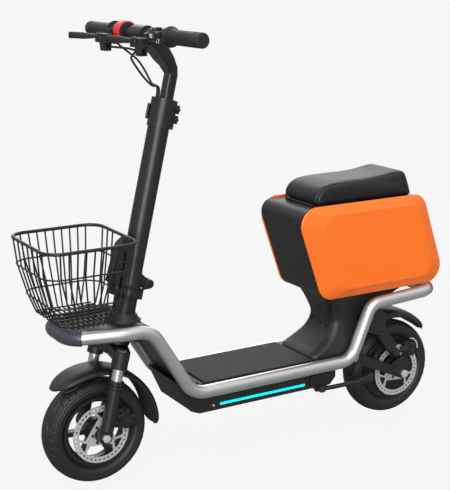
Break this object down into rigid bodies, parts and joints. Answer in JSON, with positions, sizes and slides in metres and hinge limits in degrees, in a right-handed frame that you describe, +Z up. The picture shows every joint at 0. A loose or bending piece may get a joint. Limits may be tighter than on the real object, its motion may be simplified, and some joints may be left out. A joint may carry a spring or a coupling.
{
  "type": "seated electric scooter",
  "caption": "Folding seated electric scooter with step-through deck, storage box under the cushion, wire front basket, sprung fork and rear swingarm, and disc brakes.",
  "frame": {"origin": "centre of the bounding box in X and Y, on the ground plane", "axes": "+Z up, -Y towards the front wheel, +X towards the rider's left hand"},
  "size_m": [0.5566, 1.136, 1.0638],
  "materials": {
    "silver_paint": "satin",
    "black_metal": "satin",
    "black_plastic": "satin",
    "rubber": "matt",
    "tyre": "matt",
    "cushion": "satin",
    "orange": "satin",
    "smoke": "satin",
    "red": "gloss",
    "red_lens": "gloss",
    "cyan_light": "lit",
    "steel": "brushed"
  },
  "bodies": {
    "frame": {"frame_loop": "silver_paint", "nose_cap": "smoke", "tail_light": "red_lens", "head_tube": "black_metal", "front_cover": "black_plastic", "deck_plate": "black_metal", "deck_mat": "rubber", "battery_case": "black_plastic", "light_strip_left": "cyan_light", "light_strip_right": "cyan_light", "seat_tower": "black_plastic", "storage_box": "black_plastic", "side_panel_left": "orange", "side_panel_right": "orange", "rear_bracket": "black_metal", "swing_pivot": "black_metal", "rear_mudguard": "black_plastic"},
    "steering": {"fork_crown": "black_metal", "stanchion_left": "silver_paint", "stanchion_right": "silver_paint", "steering_column": "black_metal"},
    "fork_lower": {"fork_slider_left": "black_metal", "fork_slider_right": "black_metal", "front_axle": "steel", "front_mudguard": "black_plastic", "front_caliper": "black_metal"},
    "front_wheel": {"front_rim": "black_metal", "front_tyre": "tyre", "front_disc": "steel"},
    "front_arm": {"front_brake_arm": "black_metal"},
    "stem": {"stem_tube": "black_metal", "stem_collar": "black_metal", "basket_bracket": "black_metal", "wire_basket": "black_metal"},
    "latch": {"fold_latch": "black_metal"},
    "bar": {"handlebar": "black_metal", "grip_left": "rubber", "grip_right": "rubber", "left_controls": "black_plastic", "right_controls": "black_plastic", "cable_harness": "rubber"},
    "clamp_lever": {"collar_lever": "black_metal"},
    "right_lever": {"right_brake_lever": "black_metal"},
    "left_lever": {"left_brake_lever": "black_metal"},
    "throttle": {"throttle_ring": "red"},
    "button": {"mode_button": "steel"},
    "rear_arm": {"swingarm": "black_metal", "rear_axle": "steel", "rear_caliper": "black_metal"},
    "rear_wheel": {"rear_hub": "black_metal", "rear_tyre": "tyre", "rear_disc": "steel"},
    "rear_brake": {"rear_brake_arm": "black_metal"},
    "shock_top": {"shock_upper_left": "black_metal", "shock_upper_right": "black_metal"},
    "shock_foot": {"shock_lower_left": "black_metal", "shock_lower_right": "black_metal"},
    "stand": {"kickstand": "black_metal"},
    "lid": {"seat_lid": "black_plastic", "seat_cushion": "cushion"}
  },
  "joints": [
    {"name": "steering_turn", "type": "hinge", "parent": "frame", "child": "steering", "pos_m": [0, -0.3991, 0.12268], "axis": [0, 0.2284, 0.9736], "range_deg": [-32, 32]},
    {"name": "fork_slide", "type": "slide", "parent": "steering", "child": "fork_lower", "axis": [0, 0.2284, 0.9736], "range_m": [0, 0.025], "stiffness_N_per_m": 8000, "springref_m": -0.02},
    {"name": "front_wheel_spin", "type": "hinge", "parent": "fork_lower", "child": "front_wheel", "pos_m": [0, -0.41967, 0.1275], "axis": [1, 0, 0], "continuous": true},
    {"name": "front_brake_turn", "type": "hinge", "parent": "fork_lower", "child": "front_arm", "pos_m": [0.06, -0.36238, 0.15926], "axis": [1, 0, 0], "range_deg": [0, 16]},
    {"name": "stem_fold", "type": "hinge", "parent": "steering", "child": "stem", "pos_m": [0, -0.27503, 0.46335], "axis": [-1, 0, 0], "range_deg": [0, 48]},
    {"name": "latch_turn", "type": "hinge", "parent": "stem", "child": "latch", "pos_m": [0, -0.36225, 0.48124], "axis": [-1, 0, 0], "range_deg": [0, 20], "stiffness_Nm_per_rad": 0.1, "springref_deg": -11.46},
    {"name": "bar_height", "type": "slide", "parent": "stem", "child": "bar", "axis": [0, -0.2284, -0.9736], "range_m": [-0.06, 0.015]},
    {"name": "clamp_lever_turn", "type": "hinge", "parent": "stem", "child": "clamp_lever", "pos_m": [-0.0175, -0.19187, 0.84854], "axis": [0, -0.2284, -0.9736], "range_deg": [0, 90]},
    {"name": "right_lever_pull", "type": "hinge", "parent": "bar", "child": "right_lever", "pos_m": [-0.13, -0.31457, 1.027], "axis": [0, 0, -1], "range_deg": [0, 13], "stiffness_Nm_per_rad": 0.6, "springref_deg": -5.73},
    {"name": "left_lever_pull", "type": "hinge", "parent": "bar", "child": "left_lever", "pos_m": [0.0526, -0.31457, 1.027], "axis": [0, 0, -1], "range_deg": [0, 10], "stiffness_Nm_per_rad": 0.6, "springref_deg": -5.73},
    {"name": "throttle_turn", "type": "hinge", "parent": "bar", "child": "throttle", "pos_m": [-0.085, -0.27137, 1.0383], "axis": [1, 0, 0], "range_deg": [0, 60], "stiffness_Nm_per_rad": 0.05, "springref_deg": -5.73},
    {"name": "button_press", "type": "slide", "parent": "bar", "child": "button", "axis": [0, 1, 0], "range_m": [0, 0.0015], "stiffness_N_per_m": 300, "springref_m": -0.0005},
    {"name": "swingarm_turn", "type": "hinge", "parent": "frame", "child": "rear_arm", "pos_m": [0, 0.27793, 0.2005], "axis": [1, 0, 0], "range_deg": [0, 5.5], "stiffness_Nm_per_rad": 300, "springref_deg": -5.73},
    {"name": "rear_wheel_spin", "type": "hinge", "parent": "rear_arm", "child": "rear_wheel", "pos_m": [0, 0.44053, 0.1275], "axis": [1, 0, 0], "continuous": true},
    {"name": "rear_brake_turn", "type": "hinge", "parent": "rear_arm", "child": "rear_brake", "pos_m": [0.06, 0.46925, 0.18637], "axis": [1, 0, 0], "range_deg": [0, 16]},
    {"name": "shock_top_turn", "type": "hinge", "parent": "frame", "child": "shock_top", "pos_m": [0, 0.35473, 0.263], "axis": [1, 0, 0], "range_deg": [0, 6]},
    {"name": "shock_foot_turn", "type": "hinge", "parent": "rear_arm", "child": "shock_foot", "pos_m": [0, 0.43323, 0.1672], "axis": [1, 0, 0], "range_deg": [0, 0.3]},
    {"name": "stand_turn", "type": "hinge", "parent": "frame", "child": "stand", "pos_m": [0.0885, 0.17143, 0.138], "axis": [-0.9397, 0, -0.342], "range_deg": [0, 115]},
    {"name": "lid_open", "type": "hinge", "parent": "frame", "child": "lid", "pos_m": [0, 0.15593, 0.6098], "axis": [-1, 0, 0], "range_deg": [-75, 0]}
  ],
  "couplings": [
    {"joint": "shock_top_turn", "follows": "swingarm_turn", "ratio": 1.047},
    {"joint": "shock_foot_turn", "follows": "swingarm_turn", "ratio": 0.047},
    {"joint": "front_brake_turn", "follows": "right_lever_pull", "ratio": 1.2},
    {"joint": "rear_brake_turn", "follows": "left_lever_pull", "ratio": 1.2}
  ]
}
